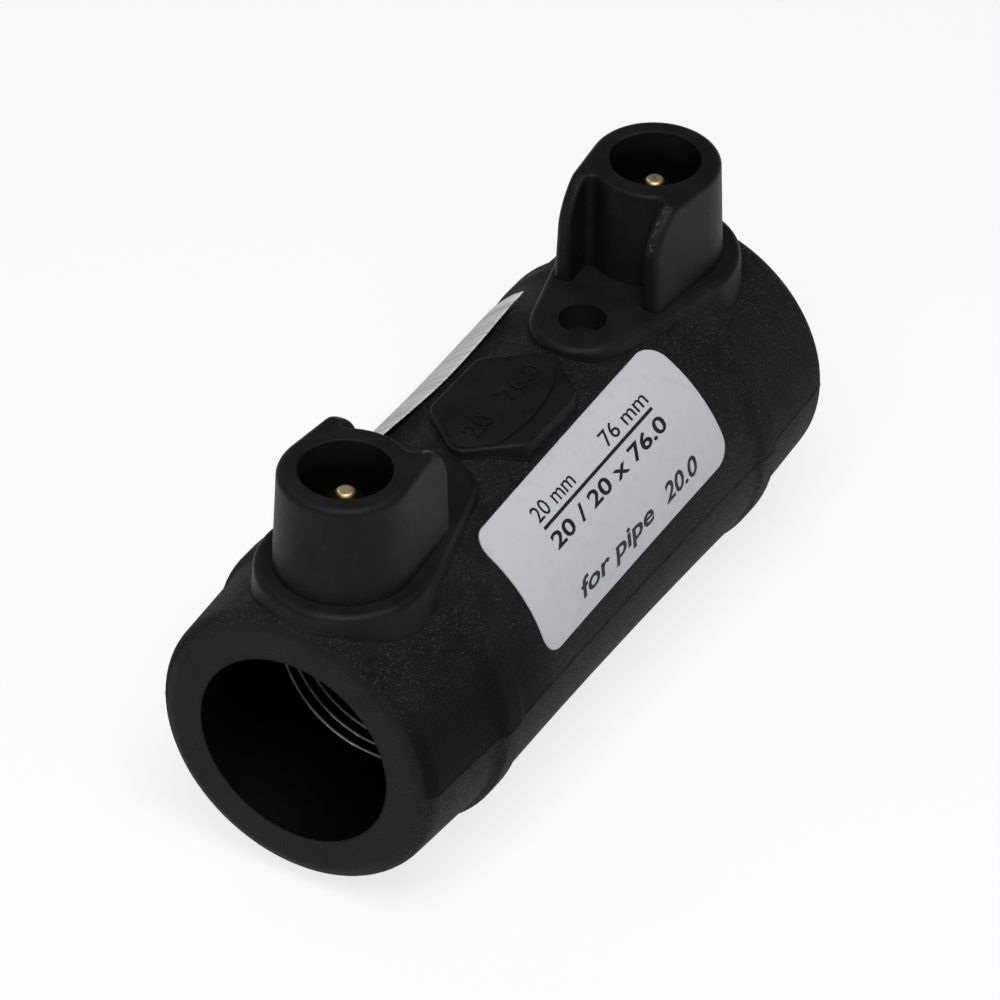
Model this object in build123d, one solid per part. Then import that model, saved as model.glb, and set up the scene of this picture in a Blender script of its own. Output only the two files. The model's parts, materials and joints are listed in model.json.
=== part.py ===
from build123d import *
import math
import os

# Electrofusion coupler for 20 mm polyethylene pipe, in millimetres.
# The bore lies along X and its middle is the origin. The two terminals point up, along +Z.
# The front end is at -X. The size label is on the -Y side and the bar label on the +Y side.

# Barrel
LENGTH = 76.0  # over the two end faces
BORE_DIAMETER = 20.3  # takes a pipe of 20 mm outside diameter
WALL = 5.35  # at mid-length
WAIST = 0.29  # growth in radius from mid-length to the rings
RING_INSET = 11.5  # from an end face to the raised ring
RING_WIDTH = 4.1
RING_RISE = 0.29  # above the barrel beside it
RING_SLOPE = 0.9  # length of the slope at each side of a ring
RING_EASE = 0.5  # rounding of a ring's corners
END_STEP = 0.63  # depth of the end section below the ring
END_TAPER = 0.6  # loss of radius from the ring to the end face
FACE_EDGE = 1.9  # rounding of the outer edge at an end face

# Terminal pads
TERMINAL_INSET = 9.35  # from an end face to the terminal's axis
PAD_RISE = 0.9  # flat top above the barrel's crown
PAD_SETBACK = 0.75  # from an end face to the pad's round end
INDICATOR_PAD_RADIUS = 5.15  # at the end that carries the fusion indicator
PAD_DRAFT = 3.0  # degrees
PAD_EDGE = 0.75

# Shrouds around the terminals
SHROUD_HEIGHT = 10.72  # above the pad
SHROUD_RADIUS = 6.42  # at the rim
SHROUD_DRAFT = 2.3  # degrees
SHROUD_ROOT = 1.0  # hidden stretch below the pad's top
RIM_EDGE = 0.75
SOCKET_DIAMETER = 8.86
SOCKET_DEPTH = 12.0  # below the rim
SOCKET_EDGE = 0.15

# Wings, which run from the sides of a shroud towards mid-length
WING_PAST_SHROUD = 2.9  # how far the wings reach past the shroud's round side
WING_SET_IN = 1.12  # of a wing's outer face at its end, inside the shroud's radius
WING_THICKNESS = 1.3
WING_FLARE = 0.4  # how much each inner face moves outwards on its way to the shroud
WING_FALL_START = 0.42  # inside the shroud's radius, where the level top falls away
WING_DROP = 4.3  # height lost at the wing's end
WING_SAG = (0.56, 0.31)  # where the falling top passes, as shares of its run and drop
WING_TOP_EASE = 1.2  # rounding where the level top starts to fall
WING_END_EASE = 1.2  # rounding where it meets the upright end
WING_ROOT = 0.8  # fillet between a wing's inner face and the shroud
RECESS_DRAFT = 1.0  # degrees
WING_INNER_EDGE = 0.4
WING_TRIM_START = 0.8  # share of the inner half width past which the falling top is cut

# Brass terminal pins
PIN_DIAMETER = 4.0
PIN_BELOW_RIM = 2.4
PIN_NOSE_LENGTH = 1.4
PIN_TIP_DIAMETER = 1.5
PIN_TIP_EDGE = 0.3
PIN_ROOT_DEPTH = 2.9  # below the socket's floor
PIN_COLLAR_DIAMETER = 5.2
PIN_COLLAR_HEIGHT = 0.8  # its top lies flush with the socket's floor

# Heating wire
WIRE_DIAMETER = 0.45
WIRE_PROUD = 0.06  # how far the wire stands into the bore
COIL_INSET = 13.9  # from an end face to the first turn
CENTRE_GAP = 12.0  # between the two coils
COIL_PITCH = 1.34
WIRE_BEAD = 1.01  # beads where the pitch changes, against the wire's size
WIRE_QUARTERS = (0, 90, 180, 270)  # where the quarters of its section start, in degrees
SEAM_TURN = 45  # degrees between the seams of neighbouring stretches, so that they never meet

# Fusion indicators
WELL_DIAMETER = 4.7
WELL_DEPTH = 2.9  # below the pad's top
INDICATOR_DIAMETER = 1.8
INDICATOR_CLEARANCE = 0.05
INDICATOR_BELOW_PAD = 1.4
INDICATOR_TIP_EDGE = 0.4
INDICATOR_FLOOR = 0.8  # wall between an indicator's foot and the wire

# Raised plate on the crown, with an oval insert mark
PLATE_RISE = 0.8
PLATE_GAP = 0.5  # from its tips to the pads
PLATE_WIDTH = 11.1
PLATE_TAPER = 4.9  # length of each pointed end
PLATE_CORNER = 1.6
PLATE_EDGE = 0.3
OVAL_REAR_INSET = 1.7  # from the plate's rear tip
OVAL_FRONT_PAST = 0.4  # past its front tip, where the plate's outline cuts the oval off
OVAL_WIDTH = 7.5
OVAL_MARGIN = 0.4  # kept from the plate's outline
OVAL_RISE = 0.34  # of the oval's rear tip above the plate
OVAL_FRONT_RISE = 0.12
OVAL_ROOT = 0.5

# Paper labels
LABEL_PAST_INDICATOR = 2.35  # from an indicator's axis to that end of the size label
LABEL_WIDTH = 14.4
LABEL_CORNER = 2.2
LABEL_THICKNESS = 0.12
LABEL_FROM_CROWN = 13.65  # along the surface, to the label's middle
LABEL_TILT = 1.6  # degrees, which brings its rear end nearer the crown
BAR_LABEL_EXTRA = 1.2  # longer than the size label
BAR_LABEL_SHIFT = 0.2  # towards the rear
BAR_LABEL_FROM_CROWN = 15.45
BAR_LABEL_LIFTS = (0.01, 0.29, 0.66)  # off the barrel at its lower edge, middle and upper edge

# Worked out from the dimensions above
HALF = LENGTH / 2
BORE_RADIUS = BORE_DIAMETER / 2
WAIST_RADIUS = BORE_RADIUS + WALL
BARREL_RADIUS = WAIST_RADIUS + WAIST
RING_RADIUS = BARREL_RADIUS + RING_RISE
END_RADIUS = RING_RADIUS - END_STEP
FACE_RADIUS = END_RADIUS - END_TAPER
RING_OUTER = HALF - RING_INSET
RING_INNER = RING_OUTER - RING_WIDTH
TERMINAL_X = HALF - TERMINAL_INSET
PAD_TOP = WAIST_RADIUS + PAD_RISE
PAD_RADIUS = TERMINAL_INSET - PAD_SETBACK
RIM = PAD_TOP + SHROUD_HEIGHT
SOCKET_FLOOR = RIM - SOCKET_DEPTH
PIN_TIP = RIM - PIN_BELOW_RIM
PIN_FOOT = SOCKET_FLOOR - PIN_ROOT_DEPTH
WING_REACH = SHROUD_RADIUS + WING_PAST_SHROUD  # from the terminal's axis
WING_FLAT = SHROUD_RADIUS - WING_FALL_START  # reach of the level top
WING_SPREAD = 2 * (SHROUD_RADIUS - WING_SET_IN)  # over the wings' outer faces at their ends
WIRE_RADIUS = WIRE_DIAMETER / 2
COIL_RADIUS = BORE_RADIUS - WIRE_PROUD + WIRE_RADIUS
COIL_OUTER = HALF - COIL_INSET
COIL_INNER = CENTRE_GAP / 2
COIL_TURNS = round((COIL_OUTER - COIL_INNER) / COIL_PITCH - 0.5) + 0.5
INDICATOR_X = (COIL_OUTER + COIL_INNER) / 2
INDICATOR_FOOT = COIL_RADIUS + WIRE_RADIUS + INDICATOR_FLOOR
HIDDEN_FOOT = BORE_RADIUS + WALL / 4  # where pads and plate end inside the barrel's wall
PLATE_TOP = WAIST_RADIUS + PLATE_RISE
PLATE_REACH = INDICATOR_X - INDICATOR_PAD_RADIUS - PLATE_GAP
LABEL_LENGTH = 2 * (INDICATOR_X + LABEL_PAST_INDICATOR)
BAR_LABEL_LENGTH = LABEL_LENGTH + BAR_LABEL_EXTRA
BAR_LABEL_REACH = BAR_LABEL_LENGTH / 2 + BAR_LABEL_SHIFT
TINY = 0.01  # for comparing places


def waist_line(grow=0.0):
    """The barrel's outline between its rings, in the XZ plane, grown outwards."""
    edge = BARREL_RADIUS + grow
    return ThreePointArc((-RING_INNER, edge), (0, WAIST_RADIUS + grow), (RING_INNER, edge))


def barrel():
    """The turned body with its waist, rings and tapered ends, without the bore."""
    right = [
        (RING_INNER, BARREL_RADIUS),
        (RING_INNER + RING_SLOPE, RING_RADIUS),
        (RING_OUTER - RING_SLOPE, RING_RADIUS),
        (RING_OUTER, END_RADIUS),
        (HALF, FACE_RADIUS),
        (HALF, 0),
    ]
    left = [(-x, z) for x, z in reversed(right)]
    outline = make_face([waist_line(), Polyline(*right), Line(right[-1], left[0]), Polyline(*left)])
    at_faces = [v for v in outline.vertices() if v.Y > TINY and abs(v.X) > HALF - TINY]
    outline = fillet(at_faces, FACE_EDGE)
    at_rings = [v for v in outline.vertices() if abs(v.X) < RING_OUTER + TINY]
    outline = fillet(at_rings, RING_EASE)
    return revolve(Plane.XZ * outline, Axis.X)


def pad():
    """Pad under the terminal at the origin's +Z, stretched towards -X for the indicator."""
    flare = (PAD_TOP - HIDDEN_FOOT) * math.tan(math.radians(PAD_DRAFT))
    big = PAD_RADIUS + flare
    small = INDICATOR_PAD_RADIUS + flare
    reach = TERMINAL_X - INDICATOR_X
    cosine = (big - small) / reach
    sine = math.sqrt(1 - cosine**2)
    corners = [(-big * cosine, big * sine), (-reach - small * cosine, small * sine)]
    mirrored = [(x, -y) for x, y in corners]
    outline = make_face([
        ThreePointArc(mirrored[0], (big, 0), corners[0]),
        Line(*corners),
        ThreePointArc(corners[1], (-reach - small, 0), mirrored[1]),
        Line(mirrored[1], mirrored[0]),
    ])
    block = extrude(Pos(0, 0, HIDDEN_FOOT) * outline, PAD_TOP - HIDDEN_FOOT, taper=PAD_DRAFT)
    return fillet(block.faces().sort_by(Axis.Z)[-1].edges(), PAD_EDGE)


def wing_profile():
    """Side view of what lies beyond a wing's falling top and upright end."""
    run = WING_REACH - WING_FLAT
    start = (-WING_FLAT, RIM)
    passing = (-WING_FLAT - run * WING_SAG[0], RIM - WING_DROP * WING_SAG[1])
    end = (-WING_REACH, RIM - WING_DROP)
    far = -2 * WING_REACH
    high = RIM + SHROUD_HEIGHT
    low = PAD_TOP - 2 * SHROUD_ROOT
    level = Line((0, RIM), start)
    falling = ThreePointArc(start, passing, end)
    rest = Polyline(end, (-WING_REACH, low), (far, low), (far, high), (0, high), (0, RIM))
    profile = make_face([level, falling, rest])
    profile = fillet(profile.vertices().sort_by_distance((*start, 0))[0], WING_TOP_EASE)
    return fillet(profile.vertices().sort_by_distance((*end, 0))[0], WING_END_EASE)


def shroud_block():
    """Outside of a shroud and its wings around the origin's +Z, with a level top."""
    foot = PAD_TOP - SHROUD_ROOT
    grow = (RIM - foot) * math.tan(math.radians(SHROUD_DRAFT))
    radius = SHROUD_RADIUS + grow
    spread = WING_SPREAD / 2 + grow
    beyond = WING_REACH + 1
    angle = math.atan2(spread, beyond) + math.acos(radius / math.hypot(beyond, spread))
    touch = (-radius * math.cos(angle), radius * math.sin(angle))
    mirrored = (touch[0], -touch[1])
    outline = make_face([
        ThreePointArc(mirrored, (radius, 0), touch),
        Polyline(touch, (-beyond, spread), (-beyond, -spread), mirrored),
    ])
    return extrude(Pos(0, 0, foot) * outline, RIM - foot, taper=SHROUD_DRAFT)


def recess():
    """The open space between a shroud's wings, down to the pad."""
    inner = WING_SPREAD / 2 - WING_THICKNESS
    far = -2 * WING_REACH
    outline = Polygon((0, inner + WING_FLARE), (far, inner), (far, -inner),
                      (0, -inner - WING_FLARE), align=None) - Circle(SHROUD_RADIUS)
    corners = outline.vertices().filter_by(lambda v: v.X > far / 2)
    outline = fillet(corners, WING_ROOT)
    return extrude(Pos(0, 0, RIM) * outline, SHROUD_HEIGHT, dir=(0, 0, -1), taper=RECESS_DRAFT)


def shroud():
    """Shroud with its two wings around the terminal at the origin's +Z, without the socket."""
    block = shroud_block() - recess()
    block &= Pos(-WING_REACH + LENGTH / 2, 0, RIM) * Box(LENGTH, LENGTH, LENGTH)
    for side in (-1, 1):
        plane = Plane.XZ.offset(side * WING_TRIM_START * (WING_SPREAD / 2 - WING_THICKNESS))
        block -= extrude(plane * wing_profile(), side * 2 * SHROUD_RADIUS)
    block = fillet(outer_top_edges(block), RIM_EDGE)
    return fillet(inner_top_edges(block), WING_INNER_EDGE)


def outer_top_edges(block):
    """The rim's outer edge, carried along the wings' tops and down their ends."""
    past_inner = WING_SPREAD / 2 - WING_THICKNESS / 2
    return [
        e for e in block.edges()
        if e.bounding_box().max.Z > PAD_TOP + TINY
        and ((e @ 0.5).Z > RIM - TINY and (e @ 0.5).X > 0
             or abs((e @ 0.5).Y) > past_inner and (e @ 0.5).X < -SHROUD_RADIUS / 4)
    ]


def inner_top_edges(block):
    """The edge of the recess along its walls' tops and down the wings' inner ends."""
    before_outer = WING_SPREAD / 2 - WING_THICKNESS + WING_FLARE
    return [
        e for e in block.edges()
        if e.bounding_box().max.Z > PAD_TOP + TINY
        and (e @ 0.5).X < -SHROUD_RADIUS / 2
        and abs((e @ 0.5).Y) < before_outer
        and not is_across_wing(e)
        and not is_recess_corner(e)
    ]


def is_across_wing(edge):
    """True for an edge that crosses the top of a wing from its inner to its outer face."""
    box = edge.bounding_box()
    return max(box.size.X, box.size.Z) < TINY and box.size.Y > WING_THICKNESS / 4


def is_recess_corner(edge):
    """True for an edge that runs down the recess's wall ahead of the wings' ends."""
    box = edge.bounding_box()
    return box.size.Z > SHROUD_HEIGHT / 2 and box.min.X > -WING_REACH + WING_INNER_EDGE


def pin_outline():
    """Half section of a terminal pin in the XZ plane, on its own axis."""
    radius = PIN_DIAMETER / 2
    collar = PIN_COLLAR_DIAMETER / 2
    collar_foot = SOCKET_FLOOR - PIN_COLLAR_HEIGHT
    points = [
        (0, PIN_FOOT), (radius, PIN_FOOT), (radius, collar_foot), (collar, collar_foot),
        (collar, SOCKET_FLOOR), (radius, SOCKET_FLOOR), (radius, PIN_TIP - PIN_NOSE_LENGTH),
        (PIN_TIP_DIAMETER / 2, PIN_TIP), (0, PIN_TIP), (0, PIN_FOOT),
    ]
    outline = make_face(Polyline(*points))
    tip = [v for v in outline.vertices() if v.X > TINY and v.Y > PIN_TIP - TINY]
    return fillet(tip, PIN_TIP_EDGE)


def terminal_pin():
    """Brass terminal pin with the collar that holds it in the wall."""
    return revolve(Plane.XZ * pin_outline(), Axis.Z)


def indicator_pin():
    """Fusion indicator, which melting plastic pushes up out of its well."""
    height = PAD_TOP - INDICATOR_BELOW_PAD - INDICATOR_FOOT
    pin = Pos(0, 0, INDICATOR_FOOT + height / 2) * Cylinder(INDICATOR_DIAMETER / 2, height)
    return fillet(pin.edges().sort_by(Axis.Z)[-1], INDICATOR_TIP_EDGE)


def indicator_space():
    """The well and the hole below it, in which an indicator pin stands."""
    well_floor = PAD_TOP - WELL_DEPTH
    well = Pos(0, 0, well_floor + WELL_DEPTH) * Cylinder(WELL_DIAMETER / 2, 2 * WELL_DEPTH)
    hole_radius = INDICATOR_DIAMETER / 2 + INDICATOR_CLEARANCE
    depth = PAD_TOP - INDICATOR_FOOT
    return well + Pos(0, 0, INDICATOR_FOOT + depth / 2) * Cylinder(hole_radius, depth)


def socket_space():
    """The round socket inside a shroud."""
    return Pos(0, 0, SOCKET_FLOOR + SOCKET_DEPTH) * Cylinder(SOCKET_DIAMETER / 2, 2 * SOCKET_DEPTH)


def crown_plate():
    """Raised plate with six corners on the crown, and the slightly tilted oval mark on it."""
    half_width = PLATE_WIDTH / 2
    shoulder = PLATE_REACH - PLATE_TAPER
    outline = Polygon(
        (PLATE_REACH, 0), (shoulder, half_width), (-shoulder, half_width),
        (-PLATE_REACH, 0), (-shoulder, -half_width), (shoulder, -half_width), align=None,
    )
    outline = fillet(outline.vertices(), PLATE_CORNER)
    plate = extrude(Pos(0, 0, HIDDEN_FOOT) * outline, PLATE_TOP - HIDDEN_FOOT)
    plate = fillet(plate.faces().sort_by(Axis.Z)[-1].edges(), PLATE_EDGE)
    return plate + oval_mark(offset(outline, -OVAL_MARGIN))


def oval_mark(limits):
    """The oval mark on the crown plate, which stands up towards the rear, cut to the limits."""
    rear = PLATE_REACH - OVAL_REAR_INSET
    front = -PLATE_REACH - OVAL_FRONT_PAST
    middle = (rear + front) / 2
    shape = Pos(middle, 0) * Ellipse((rear - front) / 2, OVAL_WIDTH / 2) & limits
    oval = extrude(Pos(0, 0, PLATE_TOP - OVAL_ROOT) * shape, OVAL_ROOT + 2 * OVAL_RISE)
    tilt = math.degrees(math.atan((OVAL_RISE - OVAL_FRONT_RISE) / (rear - front)))
    top = Pos(middle, 0, PLATE_TOP + (OVAL_RISE + OVAL_FRONT_RISE) / 2) * Rot(Y=-tilt)
    return oval - top * Pos(0, 0, LENGTH / 2) * Box(LENGTH, LENGTH, LENGTH)


def helix(pitch, turns, start_x, start_angle):
    """A stretch of the wire's path around X, right-handed, with its angle from the bottom."""
    path = Helix(pitch, pitch * turns, COIL_RADIUS)
    return (Pos(start_x, 0, 0) * Rot(X=start_angle) * Rot(Y=90) * path).edges()[0]


def wire_path():
    """The wire's path from pin to pin, as edges that follow on from each other."""
    span = COIL_OUTER - COIL_INNER
    stretches = [
        (2 * (TERMINAL_X - COIL_OUTER), 0.5, -TERMINAL_X),
        (span / COIL_TURNS, COIL_TURNS, -COIL_OUTER),
        (CENTRE_GAP, 1.0, -COIL_INNER),
        (span / COIL_TURNS, COIL_TURNS, COIL_INNER),
        (2 * (TERMINAL_X - COIL_OUTER), 0.5, COIL_OUTER),
    ]
    path = [Edge.make_line((-TERMINAL_X, 0, PIN_FOOT), (-TERMINAL_X, 0, COIL_RADIUS))]
    angle = 180.0
    for pitch, turns, start_x in stretches:
        path.append(helix(pitch, turns, start_x, angle))
        angle = (angle + 360 * turns) % 360
    path.append(Edge.make_line((TERMINAL_X, 0, COIL_RADIUS), (TERMINAL_X, 0, PIN_FOOT)))
    return path


def wire_section(turn):
    """The wire's round section, as quarters that sweep into four narrow faces."""
    return make_face([CenterArc((0, 0), WIRE_RADIUS, turn + start, 90) for start in WIRE_QUARTERS])


def heating_wire():
    """One wire in two coils, with its ends up to the feet of the two terminal pins."""
    path = wire_path()
    wire = None
    for index, edge in enumerate(path):
        section = Plane(origin=edge @ 0, z_dir=edge % 0) * wire_section(SEAM_TURN * (index % 2))
        curved = edge.geom_type != GeomType.LINE
        run = sweep(section, path=edge, is_frenet=curved)
        wire = run if wire is None else wire + run
    for edge in path[1:]:
        wire += Pos(*(edge @ 0)) * Sphere(WIRE_RADIUS * WIRE_BEAD)
    return wire


def coupler_body(wire):
    """The moulded body, with the spaces for everything that sits in it."""
    body = barrel()
    for turn in (0, 180):
        end = Rot(Z=turn) * Pos(TERMINAL_X, 0, 0)
        body += end * pad()
        body += end * shroud()
    body += crown_plate()
    body -= Rot(Y=90) * Cylinder(BORE_RADIUS, 2 * LENGTH)
    pin = terminal_pin()
    for turn in (0, 180):
        end = Rot(Z=turn) * Pos(TERMINAL_X, 0, 0)
        body -= end * socket_space()
        body -= end * pin
        body -= Rot(Z=turn) * Pos(INDICATOR_X, 0, 0) * indicator_space()
    rims = [
        e for e in body.edges().filter_by(GeomType.CIRCLE)
        if abs((e @ 0).Z - RIM) < TINY and abs(e.radius - SOCKET_DIAMETER / 2) < TINY
    ]
    body = fillet(rims, SOCKET_EDGE)
    return body - wire


def size_label():
    """Paper label with round corners, stuck flat on the waist on the -Y side."""
    ends = [(x, BARREL_RADIUS) for x in (-RING_INNER, RING_INNER)]
    lifted = [(x, z + LABEL_THICKNESS) for x, z in ends]
    section = make_face([
        waist_line(), Line(ends[1], lifted[1]), waist_line(LABEL_THICKNESS), Line(lifted[0], ends[0]),
    ])
    shell = revolve(Plane.XZ * section, Axis.X)
    from_crown = LABEL_FROM_CROWN / WAIST_RADIUS
    outward = (0, -math.sin(from_crown), math.cos(from_crown))
    plane = Plane(origin=(0, 0, 0), x_dir=(1, 0, 0), z_dir=outward)
    chord = 2 * WAIST_RADIUS * math.sin(LABEL_WIDTH / 2 / WAIST_RADIUS)
    outline = Rot(Z=LABEL_TILT) * RectangleRounded(LABEL_LENGTH, chord, LABEL_CORNER)
    return shell & extrude(plane * outline, 2 * WAIST_RADIUS)


def bar_label():
    """Paper label on the +Y side, with its upper edge lifted off the barrel."""
    reach = LABEL_WIDTH / 2 / WAIST_RADIUS
    middle = BAR_LABEL_FROM_CROWN / WAIST_RADIUS
    angles = (middle + reach, middle, middle - reach)

    barrel_radius = WAIST_RADIUS + WAIST * (BAR_LABEL_REACH / RING_INNER) ** 2

    def curve(grow):
        radii = [barrel_radius + lift + grow for lift in BAR_LABEL_LIFTS]
        return ThreePointArc(*[(r * math.sin(a), r * math.cos(a)) for r, a in zip(radii, angles)])

    inside = curve(0)
    outside = curve(LABEL_THICKNESS)
    section = make_face([
        inside, Line(inside @ 1, outside @ 1), outside, Line(outside @ 0, inside @ 0),
    ])
    start = BAR_LABEL_SHIFT - BAR_LABEL_LENGTH / 2
    return extrude(Plane.YZ.offset(start) * section, BAR_LABEL_LENGTH)


def build():
    """Every piece of the coupler in its place, by its name."""
    wire = heating_wire()
    pieces = {
        "coupler_body": coupler_body(wire),
        "heating_wire": wire,
        "size_label": size_label(),
        "bar_label": bar_label(),
    }
    for name, turn in (("front", 180), ("rear", 0)):
        pieces["terminal_pin_" + name] = Rot(Z=turn) * Pos(TERMINAL_X, 0, 0) * terminal_pin()
        pieces["indicator_pin_" + name] = Rot(Z=turn) * Pos(INDICATOR_X, 0, 0) * indicator_pin()
    return pieces


def main():
    os.makedirs("parts", exist_ok=True)
    for name, shape in build().items():
        shape.label = name
        export_step(shape, os.path.join("parts", name + ".step"))


if __name__ == "__main__":
    main()
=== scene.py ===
"""Looks of an electrofusion coupler for 20 mm pipe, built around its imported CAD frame.

The bore lies along X, the two terminals stand up along Z, the front end is at -X, the size label is
on the -Y side and the bar label on the +Y side. Lengths are in millimetres unless their docstring
says otherwise, and are turned into metres where a mesh, a lamp or the camera is made.
"""

from __future__ import annotations

import json
import logging
import math
from dataclasses import dataclass
from enum import Enum
from typing import Callable, Sequence, Union

import bmesh
import bpy
from mathutils import Matrix, Vector
from mathutils.bvhtree import BVHTree


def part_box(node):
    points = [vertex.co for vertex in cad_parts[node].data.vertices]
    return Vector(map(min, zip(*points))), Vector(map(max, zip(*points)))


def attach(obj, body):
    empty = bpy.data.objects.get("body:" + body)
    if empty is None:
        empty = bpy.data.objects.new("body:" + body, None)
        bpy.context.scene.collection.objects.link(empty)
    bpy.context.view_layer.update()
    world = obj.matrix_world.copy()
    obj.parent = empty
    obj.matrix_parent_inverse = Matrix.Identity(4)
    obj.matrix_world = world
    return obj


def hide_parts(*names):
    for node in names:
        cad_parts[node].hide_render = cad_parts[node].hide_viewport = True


LOG = logging.getLogger("coupler")
MM = 0.001
BODY = "root"
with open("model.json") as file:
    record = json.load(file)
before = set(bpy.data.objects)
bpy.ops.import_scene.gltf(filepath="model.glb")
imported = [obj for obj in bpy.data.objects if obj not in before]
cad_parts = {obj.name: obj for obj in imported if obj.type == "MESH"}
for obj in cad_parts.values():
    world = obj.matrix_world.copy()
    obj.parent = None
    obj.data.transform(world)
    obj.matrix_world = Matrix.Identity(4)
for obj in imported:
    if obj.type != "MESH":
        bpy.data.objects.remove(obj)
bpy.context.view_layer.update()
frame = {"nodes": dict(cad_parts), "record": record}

Colour = tuple[float, float, float]
Place = tuple[float, float, float]
Span = tuple[float, float]
Number = Union[float, "Field"]

NOISE_MIDDLE = 0.5
MIX_FACTOR, MIX_LOW, MIX_HIGH, MIX_RESULT = 0, 6, 7, 2  # a Mix node's sockets for colours
WELD_GAP = 1e-5  # points of a character nearer than this are one
HALF_EXTRUDED = 0.5  # how far a character stands out on each side before it is scaled


# ---------------------------------------------------------------- shader maths


@dataclass(frozen=True)
class Pattern:
    """A soft noise, fixed to the part.

    per_mm is its cells in a millimetre, detail its finer layers, rough the weight of each finer
    layer and squeeze its factors on the three axes. levels are the values between which it fades in
    when it is a mask.
    """

    per_mm: float
    detail: float = 2.0
    rough: float = 0.5
    squeeze: Place = (1.0, 1.0, 1.0)
    levels: Span = (0.0, 1.0)


class Shader:
    """One material's node tree, with a single way to add a node."""

    def __init__(self, name: str) -> None:
        """Starts a material with only its output node.

        Args:
            name: The material's name.
        """
        self.material = bpy.data.materials.new(name)
        self.material.use_nodes = True
        self.tree = self.material.node_tree
        self.tree.nodes.clear()
        self.output = self.tree.nodes.new("ShaderNodeOutputMaterial")

    def add(self, kind: str, settings: dict | None = None,
            sockets: dict | None = None) -> bpy.types.Node:
        """Adds a node, sets it up and then fills its sockets.

        Args:
            kind: The node's type, such as "ShaderNodeTexNoise".
            settings: Attributes of the node.
            sockets: A value, a Field or an output socket for each named or numbered input.

        Returns:
            The new node.
        """
        node = self.tree.nodes.new(kind)
        for key, value in (settings or {}).items():
            setattr(node, key, value)
        for key, value in (sockets or {}).items():
            self._fill(node.inputs[key], value)
        return node

    def _fill(self, socket: bpy.types.NodeSocket, value: object) -> None:
        """Links a socket or sets its value.

        Args:
            socket: The input to fill.
            value: A Field, an output socket, a number or a tuple.
        """
        source = value.socket if isinstance(value, Field) else value
        if isinstance(source, bpy.types.NodeSocket):
            self.tree.links.new(source, socket)
        elif socket.type == "RGBA" and len(source) == 3:
            socket.default_value = (*source, 1.0)
        else:
            socket.default_value = source

    def place(self) -> tuple[Field, Field, Field]:
        """Returns the surface point's X, Y and Z in the part's own frame, in millimetres."""
        parts = self.add("ShaderNodeSeparateXYZ", sockets={0: self.place_vector()})
        return tuple(Field(self, parts.outputs[i]) for i in range(3))

    def place_vector(self) -> bpy.types.NodeSocket:
        """Finds the surface point in the part's own frame.

        Returns:
            The point in millimetres, as a vector's socket.
        """
        coordinates = self.add("ShaderNodeTexCoord")
        return self.add(
            "ShaderNodeVectorMath", {"operation": "SCALE"},
            {0: coordinates.outputs["Object"], "Scale": 1 / MM},
        ).outputs[0]

    def noise(self, pattern: Pattern) -> Field:
        """Adds a soft noise.

        Args:
            pattern: What the noise is like.

        Returns:
            The noise, from 0 to 1.
        """
        scaled = self.add(
            "ShaderNodeVectorMath", {"operation": "MULTIPLY"},
            {0: self.place_vector(), 1: pattern.squeeze},
        )
        node = self.add(
            "ShaderNodeTexNoise", {"noise_dimensions": "3D"},
            {"Vector": scaled.outputs[0], "Scale": pattern.per_mm, "Detail": pattern.detail,
             "Roughness": pattern.rough},
        )
        return Field(self, node.outputs[0])

    def mask(self, pattern: Pattern) -> Field:
        """Returns a noise that has faded in between its levels."""
        return self.noise(pattern).ramp(*pattern.levels)

    def mix(self, low: object, high: object, factor: Field) -> bpy.types.NodeSocket:
        """Mixes two colours.

        Args:
            low: Colour or colour socket where the factor is 0.
            high: Colour or colour socket where it is 1.
            factor: The share of the second colour.

        Returns:
            The mixed colour's socket.
        """
        node = self.add(
            "ShaderNodeMix", {"data_type": "RGBA"},
            {MIX_FACTOR: factor, MIX_LOW: low, MIX_HIGH: high},
        )
        return node.outputs[MIX_RESULT]

    def bump(self, height: Field, depth_mm: float) -> bpy.types.NodeSocket:
        """Turns a height from 0 to 1 into a bumped normal.

        Args:
            height: The height over the surface.
            depth_mm: How far 1 stands above 0.

        Returns:
            The normal's socket.
        """
        node = self.add(
            "ShaderNodeBump", sockets={"Height": height, "Distance": depth_mm * MM, "Strength": 1.0}
        )
        return node.outputs[0]

    def finish(self, **sockets: object) -> bpy.types.Material:
        """Adds the usual surface shader and shows it.

        Args:
            sockets: The shader's inputs, with _ for each space in their names.

        Returns:
            The finished material.
        """
        named = {key.replace("_", " "): value for key, value in sockets.items()}
        return self.show(self.add("ShaderNodeBsdfPrincipled", sockets=named))

    def show(self, surface: bpy.types.Node) -> bpy.types.Material:
        """Joins a surface shader to the output and returns the material."""
        self.tree.links.new(surface.outputs[0], self.output.inputs[0])
        return self.material


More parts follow.
